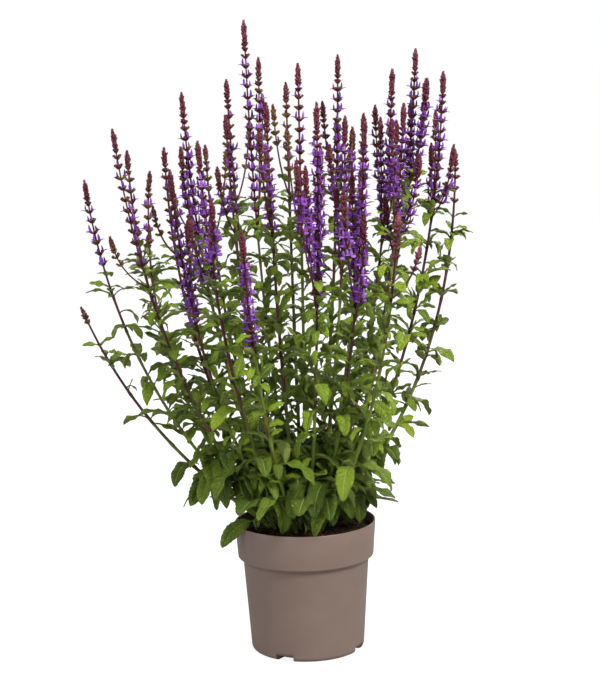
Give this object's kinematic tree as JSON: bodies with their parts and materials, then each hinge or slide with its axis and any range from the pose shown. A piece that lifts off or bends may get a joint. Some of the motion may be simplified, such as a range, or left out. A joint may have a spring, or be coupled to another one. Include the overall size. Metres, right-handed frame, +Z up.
{
  "type": "potted plant",
  "caption": "Bushy flowering sage with upright violet spikes over long rugose leaves, in a round stepped nursery pot filled with peat.",
  "frame": {"origin": "centre of the flat underside of the pot, on the surface that it stands on", "axes": "+Z up along the pot's axis, -Y towards the side that is seen in front, +X to its right"},
  "size_m": [0.4764, 0.3669, 0.754],
  "materials": {
    "pot_plastic": "satin injection-moulded polypropylene, warm taupe",
    "peat": "dark crumbly peat, matt",
    "foliage": "green rugose leaves and square stems, softly matt",
    "flowers": "violet florets in dusky purple calyces, velvety"
  },
  "bodies": {
    "root": {"pot": "pot_plastic", "soil": "peat", "leafy_stem_01": "foliage", "flower_spray_01": "flowers", "leafy_stem_02": "foliage", "flower_spray_02": "flowers", "leafy_stem_03": "foliage", "flower_spray_03": "flowers", "leafy_stem_04": "foliage", "flower_spray_04": "flowers", "leafy_stem_05": "foliage", "flower_spray_05": "flowers", "leafy_stem_06": "foliage", "flower_spray_06": "flowers", "leafy_stem_07": "foliage", "flower_spray_07": "flowers", "leafy_stem_08": "foliage", "flower_spray_08": "flowers", "leafy_stem_09": "foliage", "flower_spray_09": "flowers", "leafy_stem_10": "foliage", "flower_spray_10": "flowers", "leafy_stem_11": "foliage", "flower_spray_11": "flowers", "leafy_stem_12": "foliage", "flower_spray_12": "flowers", "leafy_stem_13": "foliage", "flower_spray_13": "flowers", "leafy_stem_14": "foliage", "flower_spray_14": "flowers", "leafy_stem_15": "foliage", "flower_spray_15": "flowers", "leafy_stem_16": "foliage", "flower_spray_16": "flowers", "leafy_stem_17": "foliage", "flower_spray_17": "flowers", "leafy_stem_18": "foliage", "flower_spray_18": "flowers", "leafy_stem_19": "foliage", "flower_spray_19": "flowers", "leafy_stem_20": "foliage", "flower_spray_20": "flowers", "leafy_stem_21": "foliage", "flower_spray_21": "flowers", "leafy_stem_22": "foliage", "flower_spray_22": "flowers", "leafy_stem_23": "foliage", "flower_spray_23": "flowers", "leafy_stem_24": "foliage", "flower_spray_24": "flowers", "leafy_stem_25": "foliage", "flower_spray_25": "flowers", "leafy_stem_26": "foliage", "flower_spray_26": "flowers", "leafy_stem_27": "foliage", "flower_spray_27": "flowers", "leafy_stem_28": "foliage", "flower_spray_28": "flowers"}
  },
  "joints": []
}
